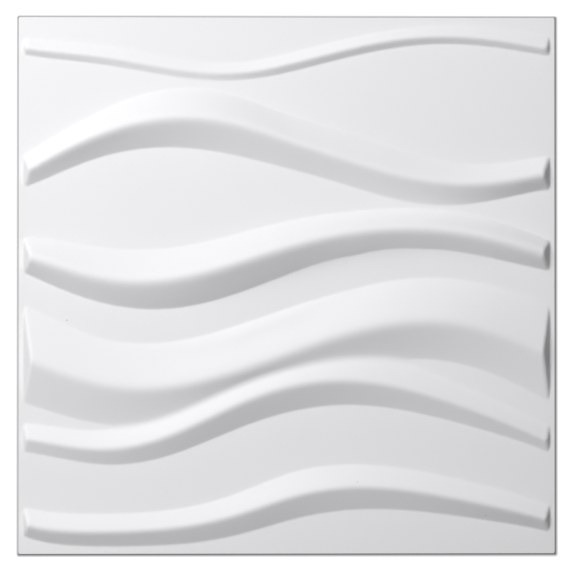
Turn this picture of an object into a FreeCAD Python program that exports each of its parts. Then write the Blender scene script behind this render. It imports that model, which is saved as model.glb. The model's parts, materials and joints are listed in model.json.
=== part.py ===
import FreeCAD, Part
import math
import os

# A wall tile formed from one thin plastic sheet. Six waves stand up from a flat field,
# run from side to side and end in sloping caps just inside the sheet's edges. The back
# is open: its hollows follow the face at the thickness of the sheet.
# The tile lies face up: X runs along its lower edge, Y towards its upper edge and Z out
# of the face. The origin is at the middle of its back. Sizes are in millimetres.

# Sheet
WIDTH = 500.0
HEIGHT = 500.0
SHEET = 1.0
CORNER_RADIUS = 1.5

# End caps of the waves: how far their feet are from the side edges, their slope from
# the flat in degrees, and the rounding where they meet a wave's sides and ridge
END_MARGIN = 4.3
CAP_SLOPE = 58.0
CAP_ROUND = 4.5

# Rounding of the hollow between two waves that run together
VALLEY_RADIUS = 11.0

# The waves, from the upper edge down. Each list has one value for each of nine evenly
# spaced places. The first and last place are this far outside the side edges, so that
# the caps cut through the waves.
OVERRUN = 6.0

# crest:  distance of the ridge from the upper edge, in hundredths of the tile's height
# rise:   width in plan from the upper foot to the ridge
# fall:   width in plan from the ridge to the lower foot
# relief: height of the ridge above the flat face, before it is rounded
# ridge_radius: the rounding of the ridge
WAVE_1 = {
    "crest": [5.1, 6.9, 8.8, 10.3, 8.7, 5.5, 3.6, 4.1, 6.2],
    "rise": [8.1, 10.5, 10.1, 9.0, 9.5, 9.0, 9.1, 11.1, 10.7],
    "fall": [6.5, 6.5, 6.8, 6.8, 7.2, 7.4, 7.0, 6.5, 6.0],
    "relief": [4.9, 4.3, 4.0, 4.1, 5.1, 5.8, 5.7, 5.1, 5.2],
    "ridge_radius": 4.5,
}
WAVE_2 = {
    "crest": [30.8, 23.4, 19.4, 19.3, 23.0, 27.2, 30.4, 30.8, 28.5],
    "rise": [17.8, 19.6, 26.3, 27.6, 24.0, 25.5, 20.7, 16.8, 13.7],
    "fall": [8.5, 19.6, 24.3, 28.5, 25.0, 22.5, 21.8, 16.2, 18.2],
    "relief": [7.0, 14.2, 17.0, 17.0, 14.5, 12.3, 11.4, 11.2, 11.8],
    "ridge_radius": 7.0,
}
WAVE_3 = {
    "crest": [44.2, 47.7, 49.3, 46.9, 43.1, 40.4, 39.8, 41.6, 45.4],
    "rise": [14.6, 26.0, 29.5, 27.6, 25.0, 20.9, 20.0, 18.8, 14.4],
    "fall": [12.2, 21.6, 25.3, 28.0, 24.5, 19.4, 17.5, 16.9, 11.7],
    "relief": [12.0, 14.6, 17.0, 19.6, 19.0, 16.6, 15.6, 15.2, 12.0],
    "ridge_radius": 9.0,
}
WAVE_4 = {
    "crest": [62.7, 67.3, 68.9, 66.6, 62.5, 58.5, 56.6, 58.7, 63.8],
    "rise": [49.5, 43.5, 37.3, 35.1, 36.0, 39.5, 40.2, 43.8, 44.2],
    "fall": [42.0, 38.7, 35.3, 28.6, 28.5, 32.1, 35.6, 38.8, 44.2],
    "relief": [12.2, 13.0, 12.6, 13.4, 13.8, 14.8, 14.9, 12.8, 11.4],
    "ridge_radius": 15.0,
}
WAVE_5 = {
    "crest": [78.7, 80.5, 79.4, 74.0, 69.1, 67.9, 70.3, 74.8, 80.6],
    "rise": [13.9, 17.8, 21.2, 28.4, 30.5, 29.9, 23.2, 17.7, 16.0],
    "fall": [11.6, 12.3, 16.3, 20.9, 23.0, 22.0, 18.8, 13.6, 8.6],
    "relief": [4.3, 6.7, 8.9, 11.3, 12.8, 12.1, 9.9, 7.3, 4.3],
    "ridge_radius": 6.5,
}
WAVE_6 = {
    "crest": [94.0, 96.1, 95.8, 93.9, 89.9, 87.8, 88.8, 91.3, 94.8],
    "rise": [16.3, 17.5, 17.5, 19.4, 23.5, 21.9, 19.9, 17.8, 14.0],
    "fall": [9.0, 12.4, 13.8, 16.9, 20.0, 20.0, 17.3, 13.7, 9.6],
    "relief": [7.4, 7.9, 8.2, 9.2, 10.0, 10.0, 9.6, 8.8, 6.5],
    "ridge_radius": 6.0,
}

# Waves 4 and 5 run together in the middle of the tile, so they are formed as one
WAVE_GROUPS = [[WAVE_1], [WAVE_2], [WAVE_3], [WAVE_4, WAVE_5], [WAVE_6]]

# How far the sloping sides and caps are carried on below the back before they are cut
# level with it
ROOT_DEPTH = 8.0

# A rounding is made of this many equal arcs side by side
ARC_BANDS = 4


def flanks(wave, place):
    """The two sides of a wave's section, each from one end to the other, as (y, z)."""
    y = HEIGHT * (0.5 - wave["crest"][place] / 100.0)
    upper_foot = (y + wave["rise"][place], SHEET)
    lower_foot = (y - wave["fall"][place], SHEET)
    ridge = (y, SHEET + wave["relief"][place])
    return [(upper_foot, ridge), (ridge, lower_foot)]


def moved_in(side, inset):
    """A side of a section moved square to itself, into the wave."""
    (y0, z0), (y1, z1) = side
    length = math.hypot(y1 - y0, z1 - z0)
    dy = inset * (z0 - z1) / length
    dz = inset * (y1 - y0) / length
    return ((y0 + dy, z0 + dz), (y1 + dy, z1 + dz))


def meeting_point(first, second):
    """Where the lines through two sides meet."""
    (ay, az), (by, bz) = first
    (cy, cz), (dy, dz) = second
    cross = (by - ay) * (dz - cz) - (bz - az) * (dy - cy)
    share = ((cy - ay) * (dz - cz) - (cz - az) * (dy - cy)) / cross
    return (ay + share * (by - ay), az + share * (bz - az))


def rounding(corner, before, after, radius):
    """The arcs that round a corner of a section, and the points where they end."""
    back = (before - corner).normalize()
    ahead = (after - corner).normalize()
    half_angle = back.getAngle(ahead) / 2.0
    start = corner + back * (radius / math.tan(half_angle))
    end = corner + ahead * (radius / math.tan(half_angle))
    centre = corner + (back + ahead).normalize() * (radius / math.sin(half_angle))
    axis = (start - centre).cross(end - centre)
    step = math.degrees(math.pi - 2.0 * half_angle) / (2 * ARC_BANDS)
    points = []
    for k in range(2 * ARC_BANDS + 1):
        turn = FreeCAD.Rotation(axis, step * k)
        points.append(centre + turn.multVec(start - centre))
    arcs = []
    for k in range(0, 2 * ARC_BANDS, 2):
        arcs.append(Part.Arc(points[k], points[k + 1], points[k + 2]).toShape())
    return points[0], arcs, points[-1]


def section(group, place, inset):
    """The closed outline of a group of waves at one place along the tile."""
    places = len(group[0]["crest"]) - 1
    x = (WIDTH + 2.0 * OVERRUN) * (place / places - 0.5)
    sides = []
    radii = []
    for wave in group:
        if sides:
            radii.append(VALLEY_RADIUS + inset)
        sides += [moved_in(side, inset) for side in flanks(wave, place)]
        radii.append(wave["ridge_radius"] - inset)
    root = ((0.0, -ROOT_DEPTH), (1.0, -ROOT_DEPTH))
    corners = [meeting_point(root, sides[0])]
    for first, second in zip(sides, sides[1:]):
        corners.append(meeting_point(first, second))
    corners.append(meeting_point(sides[-1], root))
    points = [FreeCAD.Vector(x, y, z) for y, z in corners]

    edges = []
    last = points[0]
    for before, corner, after, radius in zip(points, points[1:], points[2:], radii):
        start, arcs, end = rounding(corner, before, after, radius)
        edges.append(Part.LineSegment(last, start).toShape())
        edges += arcs
        last = end
    edges.append(Part.LineSegment(last, points[-1]).toShape())
    edges.append(Part.LineSegment(points[-1], points[0]).toShape())
    return Part.Wire(edges)


def cap_reach(z, inset):
    """How far the end caps stand from the middle of the tile at height z."""
    slope = math.radians(CAP_SLOPE)
    foot = WIDTH / 2.0 - END_MARGIN - inset / math.sin(slope)
    return foot - (z - SHEET) / math.tan(slope)


def between_caps(inset):
    """The space between the two rows of end caps."""
    waves = [wave for group in WAVE_GROUPS for wave in group]
    top = SHEET + max(max(wave["relief"]) for wave in waves)
    outline = [
        FreeCAD.Vector(-cap_reach(-ROOT_DEPTH, inset), -HEIGHT, -ROOT_DEPTH),
        FreeCAD.Vector(cap_reach(-ROOT_DEPTH, inset), -HEIGHT, -ROOT_DEPTH),
        FreeCAD.Vector(cap_reach(top, inset), -HEIGHT, top),
        FreeCAD.Vector(-cap_reach(top, inset), -HEIGHT, top),
    ]
    face = Part.Face(Part.makePolygon(outline + outline[:1]))
    return face.extrude(FreeCAD.Vector(0.0, 2.0 * HEIGHT, 0.0))


def cap_edges(shape, inset):
    """The edges between the end caps and the waves' sides and ridges."""
    found = []
    for edge in shape.Edges:
        middle = edge.valueAt((edge.FirstParameter + edge.LastParameter) / 2.0)
        points = [vertex.Point for vertex in edge.Vertexes] + [middle]
        on_cap = all(abs(abs(p.x) - cap_reach(p.z, inset)) < 0.01 for p in points)
        level = all(abs(p.z - middle.z) < 0.001 for p in points)
        if on_cap and not level:
            found.append(edge)
    return found


def formed_waves(group, inset):
    """A group of waves as one solid with rounded caps. It reaches below the back."""
    places = range(len(group[0]["crest"]))
    sections = [section(group, place, inset) for place in places]
    body = Part.makeLoft(sections, True, False).common(between_caps(inset))
    return body.makeFillet(CAP_ROUND - inset, cap_edges(body, inset))


def below_back():
    """The space under the level of the back."""
    corner = FreeCAD.Vector(-WIDTH, -HEIGHT, -2.0 * ROOT_DEPTH)
    return Part.makeBox(2.0 * WIDTH, 2.0 * HEIGHT, 2.0 * ROOT_DEPTH, corner)


def flat_sheet():
    """The flat field, with the sheet's corners rounded."""
    corner = FreeCAD.Vector(-WIDTH / 2.0, -HEIGHT / 2.0, 0.0)
    sheet = Part.makeBox(WIDTH, HEIGHT, SHEET, corner)
    upright = [e for e in sheet.Edges if abs(e.BoundBox.ZLength - SHEET) < 0.001]
    return sheet.makeFillet(CORNER_RADIUS, upright)


def wave_panel():
    """The formed sheet: the field and its waves, hollowed from the back."""
    raised = [formed_waves(group, 0.0).cut(below_back()) for group in WAVE_GROUPS]
    hollows = [formed_waves(group, SHEET) for group in WAVE_GROUPS]
    return flat_sheet().fuse(raised).cut(hollows).removeSplitter()


os.makedirs("parts", exist_ok=True)
panel = wave_panel()
panel.exportStep("parts/wave_panel.step")
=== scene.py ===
import math

import bpy
import numpy as np
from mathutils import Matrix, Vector
from mathutils.bvhtree import BVHTree
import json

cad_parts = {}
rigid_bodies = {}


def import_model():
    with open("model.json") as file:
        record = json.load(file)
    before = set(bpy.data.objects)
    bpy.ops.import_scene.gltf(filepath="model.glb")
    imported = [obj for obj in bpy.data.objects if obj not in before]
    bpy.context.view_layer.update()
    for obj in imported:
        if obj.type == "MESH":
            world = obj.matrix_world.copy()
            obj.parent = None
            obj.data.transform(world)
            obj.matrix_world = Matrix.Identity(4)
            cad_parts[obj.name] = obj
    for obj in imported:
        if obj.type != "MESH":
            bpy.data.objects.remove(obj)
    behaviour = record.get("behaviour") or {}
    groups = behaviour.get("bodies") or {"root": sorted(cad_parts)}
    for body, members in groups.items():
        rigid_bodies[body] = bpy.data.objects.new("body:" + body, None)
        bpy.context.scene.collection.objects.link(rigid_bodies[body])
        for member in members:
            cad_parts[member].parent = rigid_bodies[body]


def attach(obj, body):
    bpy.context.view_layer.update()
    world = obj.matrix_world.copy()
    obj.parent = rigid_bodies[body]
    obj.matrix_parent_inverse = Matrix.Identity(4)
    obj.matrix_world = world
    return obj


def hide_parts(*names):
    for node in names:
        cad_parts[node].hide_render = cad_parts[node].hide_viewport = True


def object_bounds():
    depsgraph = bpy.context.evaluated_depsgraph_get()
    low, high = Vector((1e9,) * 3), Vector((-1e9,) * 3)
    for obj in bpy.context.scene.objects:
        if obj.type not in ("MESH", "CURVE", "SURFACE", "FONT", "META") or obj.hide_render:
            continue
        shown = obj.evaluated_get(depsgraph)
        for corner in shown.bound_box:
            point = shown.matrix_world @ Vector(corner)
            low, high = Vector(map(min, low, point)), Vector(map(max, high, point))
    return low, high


# A square wall tile, formed from one sheet of white PVC, lying face up on a white
# studio floor and seen from above.
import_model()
cad_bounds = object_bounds()


# The tile: one sheet of rigid white PVC, 1 mm thick, drawn hot over a mould so that six
# waves stand up from it. The hot film bridges the mould's ridges, so they come out softly
# rounded, while the feet of the waves, sucked down on the mould, stay crisp.
MM = 0.001
SHEET = 1.0 * MM
CORNER_RADIUS = 1.5 * MM

# How finely the moulded solid is felt: columns run across the waves, from the lower edge
# to the upper one, and stand closer together in the zones of the end caps
COLUMN_STEP = 4.0 * MM
CAP_ZONE = 15.0 * MM
CAP_STEP = 0.6 * MM
SAMPLE_STEP = 0.5 * MM

# How softly the sheet follows the mould at the ridges of the tallest waves, at the feet
# and in the caps
RIDGE_SOFTENING = 4.2 * MM
FOOT_SOFTENING = 0.8 * MM
CAP_SOFTENING = 0.7 * MM

# A wave this tall has the full softening. The wave's height is read this far to each side
# and averaged over the next distance.
TALL_WAVE = 17.0 * MM
WAVE_REACH = 25.0 * MM
WAVE_BLUR = 6.0 * MM

# Reach of the averages from which ridges and feet are told apart
BEND_BLUR = 1.0 * MM
RIDGE_REACH = 4.0 * MM
FLAT_BEND = 0.02

# Ridges keep this share of their softening near the ends, and all of it further in
END_SHARE = 0.1
END_NEAR = 8.0 * MM
END_FAR = 14.0 * MM

# The largest step of a softening pass that stays steady
STEADY = 0.9

# Share of the cap zone over which the softening of the caps sets in
CAP_FADE = 0.3

# The rows of the mesh: their number, and how they crowd where the sheet bends
ROWS = 260
ROWS_PER_RADIAN = 12.0
ROW_GAP = 6.0 * MM
CROWDING_BLUR = 1.5 * MM

# Faces that meet at more than this angle have a sharp edge between them
SHARP_ANGLE = math.radians(60.0)

# Lines of the real tile that run a little up or down from the moulded solid's, whose
# sections stand far apart: (x, y, how far up), in mm, from the left to the right
LINE_REACH = 8.0 * MM
MOVED_LINES = [
    # the ridges of waves 2, 3, 4, 5 and 6
    [(-250, 98, 0.8), (-128, 153, 0.6), (-64, 154, 0.5), (64, 114, 0.4), (250, 106, 0.3)],
    [(-250, 28, 0.4), (-192, 12, 0.5), (-128, 4, 0.7), (-64, 16, 1.0), (0, 35, 1.5),
     (64, 48, 1.8), (128, 51, 1.8), (192, 42, 1.6), (250, 25, 1.2)],
    [(-192, -87, 0.0), (-128, -95, -1.0), (-85, -87, -1.5), (-44, -77, -2.0),
     (0, -62, -1.2), (40, -50, 0.0)],
    [(-250, -144, 1.0), (-192, -152, 1.3), (-128, -147, 1.2), (-64, -120, 1.2),
     (0, -95, 1.0), (64, -90, 0.8), (128, -102, 0.8), (192, -124, 1.0), (250, -151, 1.0)],
    [(-250, -221, 1.7), (-192, -230, 1.6), (-128, -229, 1.6), (-64, -219, 1.6),
     (0, -199, 1.6), (64, -189, 1.6), (128, -194, 1.5), (192, -206, 1.3), (250, -223, 1.0)],
    # the upper foot of wave 4
    [(-180, -54, 0.0), (-127, -57, 3.3), (-81, -51, 4.7), (-44, -42, 6.1), (0, -26, 5.6),
     (40, -11, 1.8), (64, -3, 0.0)],
    # the lower feet of waves 1, 2 and 3
    [(-250, 215, -0.3), (-128, 201, -0.7), (0, 198, -0.7), (64, 215, -0.4),
     (250, 215, -0.3)],
    [(-250, 88, -0.5), (-128, 129, -0.6), (0, 110, -0.5), (64, 92, -0.4), (128, 76, -0.3),
     (250, 90, -0.3)],
    [(-250, 17, -0.5), (-128, -15, -0.6), (-64, -12, -1.2), (0, 10, -2.0), (64, 29, -2.5),
     (128, 33, -1.4), (192, 25, -0.8), (250, 12, -0.3)],
]

# Below the steep side of wave 3 the film bridges the mould's narrow trough in a cove:
# x and y of its upper end, in mm, and its share of the full slope. The cove dies out over
# its length below that line, and above it runs straight on for 1.5 times that length, to
# meet the wave's side.
COVE_LINE = [(-128, -7, 0.0), (-64, -12, 0.3), (0, 10, 0.8), (64, 29, 1.0), (128, 33, 0.7),
             (192, 25, 0.4), (250, 12, 0.0)]
COVE_SLOPE = 0.25
COVE_LENGTH = 8.0 * MM
COVE_OVERLAP = 1.5

solid = next(o for o in bpy.data.objects
             if o.type == "MESH" and o.name.startswith("wave_panel"))
solid_tree = BVHTree.FromPolygons([v.co for v in solid.data.vertices],
                                  [p.vertices for p in solid.data.polygons])
half_width, half_height = cad_bounds[1][0], cad_bounds[1][1]


def blurred(rows, reach):
    """Each column of samples, averaged with a bell-shaped weight of that reach."""
    tail = round(3 * reach / SAMPLE_STEP)
    offsets = np.arange(-tail, tail + 1)
    bell = np.exp(-0.5 * (offsets * SAMPLE_STEP / reach) ** 2)
    bell /= bell.sum()
    padded_rows = np.pad(rows, ((0, 0), (tail, tail)), mode="edge")
    return np.apply_along_axis(np.convolve, 1, padded_rows, bell, mode="valid")


def bend_along(rows):
    """How fast the slope of each column changes, positive in a hollow."""
    slope = np.gradient(rows, SAMPLE_STEP, axis=1)
    return np.gradient(slope, SAMPLE_STEP, axis=1)


# Where the columns of the mesh stand: close together near the caps, wider between them
inner = half_width - CAP_ZONE
middle = np.linspace(-inner, inner, round(2 * inner / COLUMN_STEP) + 1)
caps = np.linspace(inner, half_width, round(CAP_ZONE / CAP_STEP) + 1)[1:]
columns = np.concatenate([-caps[::-1], middle, caps])

# The face of the moulded solid, felt from above along each column
samples = np.linspace(-half_height, half_height, round(2 * half_height / SAMPLE_STEP) + 1)
face = np.full((len(columns), len(samples)), SHEET)
for i, x in enumerate(columns):
    for j, y in enumerate(samples):
        hit = solid_tree.ray_cast(Vector((x, y, 1.0)), Vector((0.0, 0.0, -1.0)))[0]
        if hit is not None:
            face[i, j] = max(hit.z, SHEET)

# 1 at a ridge, where the sheet bends down, and 0 at a foot, where it bends up
bend = bend_along(blurred(face, BEND_BLUR))
ridge = blurred(np.maximum(-bend, 0.0), RIDGE_REACH)
foot = blurred(np.maximum(bend, 0.0), RIDGE_REACH)
ridge_share = ridge / (ridge + foot + FLAT_BEND * ridge.max())

# The height of the wave that each sample lies on or beside
beside = round(WAVE_REACH / SAMPLE_STEP)
wide = np.pad(face - SHEET, ((0, 0), (beside, beside)), mode="edge")
tall = np.max([wide[:, k:k + len(samples)] for k in range(2 * beside + 1)], axis=0)
tall = blurred(tall, WAVE_BLUR)

# The lines are moved to where the real tile has them
lifted = np.zeros_like(face)
for line in MOVED_LINES:
    x, y, up = MM * np.array(line).T
    beside_line = samples - np.interp(columns, x, y)[:, None]
    amount = np.interp(columns, x, up)[:, None]
    lifted += amount * np.exp(-0.5 * (beside_line / LINE_REACH) ** 2)
face = np.array([np.interp(samples - up, samples, f) for up, f in zip(lifted, face)])

# The cove: a slope that dies out below its line, and a straight one above it
x, y, part = np.array(COVE_LINE).T
below = (np.interp(columns, MM * x, MM * y)[:, None] - samples) / COVE_LENGTH
cove = np.where(below > 0.0, np.exp(-np.abs(below)), 1.0 - below)
cove *= COVE_SLOPE * COVE_LENGTH * np.interp(columns, MM * x, part)[:, None]
face = np.where(below > -COVE_OVERLAP, np.maximum(face, SHEET + cove), face)

# Softening across the waves, as heat spreads in a bar: the taller a wave, the softer its
# ridge
from_end = half_width - np.abs(columns)[:, None]
spread = (RIDGE_SOFTENING * np.clip(tall / TALL_WAVE, 0.0, 1.0)) ** 2 * ridge_share
spread *= np.interp(from_end, [END_NEAR, END_FAR], [END_SHARE, 1.0])
spread = np.maximum(spread, FOOT_SOFTENING ** 2)
passes = int(np.ceil(spread.max() / (STEADY * SAMPLE_STEP ** 2)))
weight = spread[:, 1:-1] / (2.0 * passes * SAMPLE_STEP ** 2)
for _ in range(passes):
    face[:, 1:-1] += weight * (face[:, 2:] - 2.0 * face[:, 1:-1] + face[:, :-2])

# The caps are softened along the tile too, up to where they meet the long waves
passes = int(np.ceil(CAP_SOFTENING ** 2 / (STEADY * CAP_STEP ** 2)))
fade = np.interp(np.abs(columns), [inner, inner + CAP_FADE * CAP_ZONE], [0.0, 1.0])
weight = fade[1:-1, None] * CAP_SOFTENING ** 2 / (2.0 * passes * CAP_STEP ** 2)
for _ in range(passes):
    face[1:-1] += weight * (face[2:] - 2.0 * face[1:-1] + face[:-2])

# Rows crowd where the sheet bends, so that they follow the ridges and feet
crowding = blurred(1.0 / ROW_GAP + ROWS_PER_RADIAN * np.abs(bend_along(face)), CROWDING_BLUR)
filled = np.cumsum(crowding, axis=1)
filled = (filled - filled[:, :1]) / (filled[:, -1:] - filled[:, :1])
wanted = np.linspace(0.0, 1.0, ROWS)
grid = np.zeros((len(columns), ROWS, 3))
for i, x in enumerate(columns):
    grid[i, :, 0] = x
    grid[i, :, 1] = np.interp(wanted, filled[i], samples)
    grid[i, :, 2] = np.interp(grid[i, :, 1], samples, face[i])

# The sheet's corners are rounded
flat = np.abs(grid[..., :2])
over = flat - (np.array([half_width, half_height]) - CORNER_RADIUS)
at_corner = (over > 0.0).all(axis=2)
pull = over.max(axis=2) / np.maximum(np.hypot(over[..., 0], over[..., 1]), 1e-9)
moved = np.sign(grid[..., :2]) * (flat - over + over * pull[..., None])
grid[..., :2] = np.where(at_corner[..., None], moved, grid[..., :2])

# The back follows the face at the thickness of the sheet
outward = np.cross(np.gradient(grid, axis=0), np.gradient(grid, axis=1))
outward /= np.linalg.norm(outward, axis=2)[..., None]
back = grid - SHEET * outward
back[..., 2] = np.maximum(back[..., 2], 0.0)

# The face, the back and the rim that joins them are one closed mesh
count = len(columns) * ROWS
quads = []
for i in range(len(columns) - 1):
    for j in range(ROWS - 1):
        a, b = i * ROWS + j, (i + 1) * ROWS + j
        quads.append((a, b, b + 1, a + 1))
        quads.append((count + a, count + a + 1, count + b + 1, count + b))
rim = [i * ROWS for i in range(len(columns))]
rim += [(len(columns) - 1) * ROWS + j for j in range(1, ROWS)]
rim += [i * ROWS + ROWS - 1 for i in range(len(columns) - 2, -1, -1)]
rim += list(range(ROWS - 2, 0, -1))
for a, b in zip(rim, rim[1:] + rim[:1]):
    quads.append((a, count + a, count + b, b))

points = np.concatenate([grid.reshape(-1, 3), back.reshape(-1, 3)]).tolist()
sheet_mesh = bpy.data.meshes.new("formed_sheet")
sheet_mesh.from_pydata(points, [], quads)
sheet_mesh.shade_smooth()
sheet_mesh.set_sharp_from_angle(angle=SHARP_ANGLE)
panel = bpy.data.objects.new("formed_sheet", sheet_mesh)
bpy.context.scene.collection.objects.link(panel)
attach(panel, "root")
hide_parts("wave_panel")

# Its finish: satin white, very slightly uneven where it stretched, with a few dark
# specks, each at its own (x, y) and with its own radius
PVC_WHITE = (0.80, 0.80, 0.813, 1.0)
PVC_CLOUD = (0.785, 0.785, 0.798, 1.0)
SPECK_GREY = (0.45, 0.44, 0.42, 1.0)
SPECKS = [(-0.205, -0.0325, 0.0010), (0.0655, -0.183, 0.0007), (0.1855, -0.2145, 0.0008)]
SPECK_CORE = 0.3

pvc = bpy.data.materials.new("white_pvc")
pvc.use_nodes = True
nodes = pvc.node_tree.nodes
links = pvc.node_tree.links
shader = nodes["Principled BSDF"]
shader.inputs["IOR"].default_value = 1.46
shader.inputs["Specular IOR Level"].default_value = 0.25
place = nodes.new("ShaderNodeTexCoord")

# Slow clouding of the white, a hand's breadth across
cloud = nodes.new("ShaderNodeTexNoise")
cloud.inputs["Scale"].default_value = 14.0
cloud.inputs["Detail"].default_value = 2.0
links.new(place.outputs["Object"], cloud.inputs["Vector"])
white = nodes.new("ShaderNodeMix")
white.data_type = "RGBA"
white.inputs["A"].default_value = PVC_WHITE
white.inputs["B"].default_value = PVC_CLOUD
links.new(cloud.outputs["Fac"], white.inputs["Factor"])
colour = white.outputs["Result"]

# The specks, each a soft-edged grey dot
for x, y, radius in SPECKS:
    distance = nodes.new("ShaderNodeVectorMath")
    distance.operation = "DISTANCE"
    flat_place = nodes.new("ShaderNodeVectorMath")
    flat_place.operation = "MULTIPLY"
    flat_place.inputs[1].default_value = (1.0, 1.0, 0.0)
    links.new(place.outputs["Object"], flat_place.inputs[0])
    links.new(flat_place.outputs["Vector"], distance.inputs[0])
    distance.inputs[1].default_value = (x, y, 0.0)
    dot = nodes.new("ShaderNodeMapRange")
    dot.interpolation_type = "SMOOTHSTEP"
    dot.inputs["From Min"].default_value = radius
    dot.inputs["From Max"].default_value = SPECK_CORE * radius
    links.new(distance.outputs["Value"], dot.inputs["Value"])
    speck = nodes.new("ShaderNodeMix")
    speck.data_type = "RGBA"
    speck.inputs["B"].default_value = SPECK_GREY
    links.new(dot.outputs["Result"], speck.inputs["Factor"])
    links.new(colour, speck.inputs["A"])
    colour = speck.outputs["Result"]
links.new(colour, shader.inputs["Base Color"])

# Satin gloss that varies a little with the stretch of the sheet
gloss = nodes.new("ShaderNodeMapRange")
gloss.inputs["To Min"].default_value = 0.42
gloss.inputs["To Max"].default_value = 0.54
links.new(cloud.outputs["Fac"], gloss.inputs["Value"])
links.new(gloss.outputs["Result"], shader.inputs["Roughness"])

# The forming leaves shallow dents a few centimetres wide, and the film a fine grain
dents = nodes.new("ShaderNodeTexNoise")
dents.inputs["Scale"].default_value = 45.0
dents.inputs["Detail"].default_value = 1.0
grain = nodes.new("ShaderNodeTexNoise")
grain.inputs["Scale"].default_value = 1800.0
grain.inputs["Detail"].default_value = 1.0
links.new(place.outputs["Object"], dents.inputs["Vector"])
links.new(place.outputs["Object"], grain.inputs["Vector"])
dent_bump = nodes.new("ShaderNodeBump")
dent_bump.inputs["Strength"].default_value = 1.0
dent_bump.inputs["Distance"].default_value = 0.06 * MM
grain_bump = nodes.new("ShaderNodeBump")
grain_bump.inputs["Strength"].default_value = 1.0
grain_bump.inputs["Distance"].default_value = 0.003 * MM
links.new(dents.outputs["Fac"], dent_bump.inputs["Height"])
links.new(grain.outputs["Fac"], grain_bump.inputs["Height"])
links.new(dent_bump.outputs["Normal"], grain_bump.inputs["Normal"])
links.new(grain_bump.outputs["Normal"], shader.inputs["Normal"])

sheet_mesh.materials.append(pvc)


# The floor: a plain white studio sheet that the picture shows as pure white. Where it
# meets the tile a thin dark contact shadow is painted into its colour, wider on the side
# away from the lamp.
# It lies a hair below the tile, so that the two never share a plane.
FLOOR_HALF = 3.0
FLOOR_GAP = 0.1 * MM
SHADOW_SHIFT = 0.5 * MM
SHADOW_WIDTH = 4.8 * MM
SHADOW_DEPTH = 0.10
PAPER_WHITE = 0.5
PAPER_GLOW = 0.75

floor_mesh = bpy.data.meshes.new("studio_floor")
corners = [(-FLOOR_HALF, -FLOOR_HALF, -FLOOR_GAP), (FLOOR_HALF, -FLOOR_HALF, -FLOOR_GAP),
           (FLOOR_HALF, FLOOR_HALF, -FLOOR_GAP), (-FLOOR_HALF, FLOOR_HALF, -FLOOR_GAP)]
floor_mesh.from_pydata(corners, [], [(0, 1, 2, 3)])
floor = bpy.data.objects.new("studio_floor", floor_mesh)
bpy.context.scene.collection.objects.link(floor)
paper = bpy.data.materials.new("studio_paper")
paper.use_nodes = True
nodes = paper.node_tree.nodes
links = paper.node_tree.links
shader = nodes["Principled BSDF"]
shader.inputs["Roughness"].default_value = 0.9

# Distance outside the tile's outline, which is moved a little away from the lamp
place = nodes.new("ShaderNodeTexCoord")
shifted = nodes.new("ShaderNodeVectorMath")
shifted.operation = "SUBTRACT"
shifted.inputs[1].default_value = (SHADOW_SHIFT, -SHADOW_SHIFT, 0.0)
links.new(place.outputs["Object"], shifted.inputs[0])
folded = nodes.new("ShaderNodeVectorMath")
folded.operation = "ABSOLUTE"
links.new(shifted.outputs["Vector"], folded.inputs[0])
beyond = nodes.new("ShaderNodeVectorMath")
beyond.operation = "SUBTRACT"
beyond.inputs[1].default_value = (half_width, half_height, 1.0)
links.new(folded.outputs["Vector"], beyond.inputs[0])
outside = nodes.new("ShaderNodeVectorMath")
outside.operation = "MAXIMUM"
outside.inputs[1].default_value = (0.0, 0.0, 0.0)
links.new(beyond.outputs["Vector"], outside.inputs[0])
distance = nodes.new("ShaderNodeVectorMath")
distance.operation = "LENGTH"
links.new(outside.outputs["Vector"], distance.inputs[0])

# Painted contact shadow: the floor's colour and glow darken near the tile's outline
shade = nodes.new("ShaderNodeMapRange")
shade.interpolation_type = "SMOOTHSTEP"
shade.inputs["From Min"].default_value = -SHADOW_SHIFT
shade.inputs["From Max"].default_value = SHADOW_WIDTH - SHADOW_SHIFT
shade.inputs["To Min"].default_value = SHADOW_DEPTH
shade.inputs["To Max"].default_value = 1.0
links.new(distance.outputs["Value"], shade.inputs["Value"])
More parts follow.
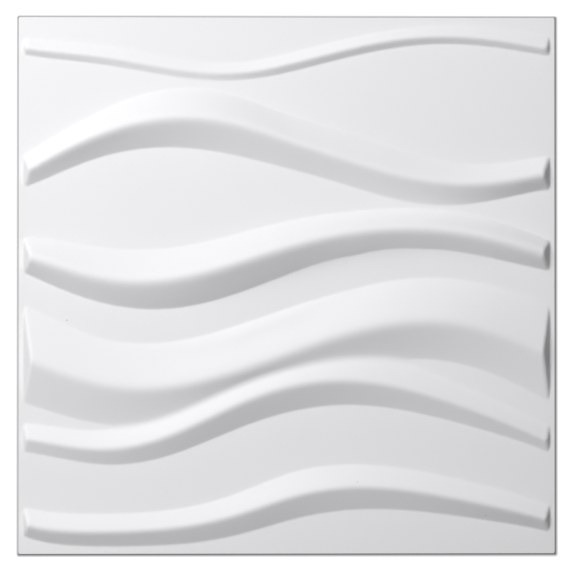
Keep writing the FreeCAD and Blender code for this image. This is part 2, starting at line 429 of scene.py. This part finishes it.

# The sheet is overlit for the camera alone, so that it doesn't light the tile from below
# Both the paper's colour and its glow carry the painted contact shadow
for socket, strength in (("Base Color", PAPER_WHITE), ("Emission Color", PAPER_GLOW)):
    tint = nodes.new("ShaderNodeVectorMath")
    tint.operation = "SCALE"
    tint.inputs[0].default_value = (strength, strength, strength)
    links.new(shade.outputs["Result"], tint.inputs["Scale"])
    links.new(tint.outputs["Vector"], shader.inputs[socket])
seen = nodes.new("ShaderNodeLightPath")
links.new(seen.outputs["Is Camera Ray"], shader.inputs["Emission Strength"])
floor_mesh.materials.append(paper)


# The light: one large lamp above the upper left corner, and a little light from all
# round, as in a white room.
KEY_TOWARDS = (-0.375, 0.383, 0.844)
KEY_DISTANCE = 2.1
KEY_SIZE = 2.3
KEY_WATTS = 62.4
ROOM_LIGHT = 0.02

key_data = bpy.data.lights.new("key_lamp", "AREA")
key_data.shape = "DISK"
key_data.size = KEY_SIZE
key_data.energy = KEY_WATTS
key = bpy.data.objects.new("key_lamp", key_data)
key.location = [KEY_DISTANCE * c for c in KEY_TOWARDS]
key.rotation_euler = key.location.to_track_quat("Z", "Y").to_euler()
bpy.context.scene.collection.objects.link(key)

world = bpy.data.worlds.new("white_room")
world.use_nodes = True
background = world.node_tree.nodes["Background"]
background.inputs["Color"].default_value = (1.0, 1.0, 1.0, 1.0)
background.inputs["Strength"].default_value = ROOM_LIGHT
bpy.context.scene.world = world


# The camera: above the tile, far off with a long lens, as in a product picture almost
# without perspective. It stands a little to the left of the middle and below it, turned
# to look at the middle of the picture.
CAMERA_HEIGHT = 3.0
ASIDE_X = -57.0 * MM
ASIDE_Y = -20.0 * MM
AIM = (-0.4 * MM, -1.05 * MM, 0.0)
PICTURE_WIDTH = 0.53445
SENSOR = 36.0

camera_data = bpy.data.cameras.new("camera")
camera_data.sensor_width = SENSOR
camera_data.lens = SENSOR * CAMERA_HEIGHT / PICTURE_WIDTH
camera = bpy.data.objects.new("camera", camera_data)
camera.location = Vector(AIM) + Vector((ASIDE_X, ASIDE_Y, CAMERA_HEIGHT))
tilt = -math.atan2(ASIDE_Y, CAMERA_HEIGHT)
swing = math.atan2(ASIDE_X, CAMERA_HEIGHT)
camera.rotation_euler = (tilt, swing, 0.0)
bpy.context.scene.collection.objects.link(camera)
bpy.context.scene.camera = camera
bpy.context.scene.view_settings.view_transform = "Standard"
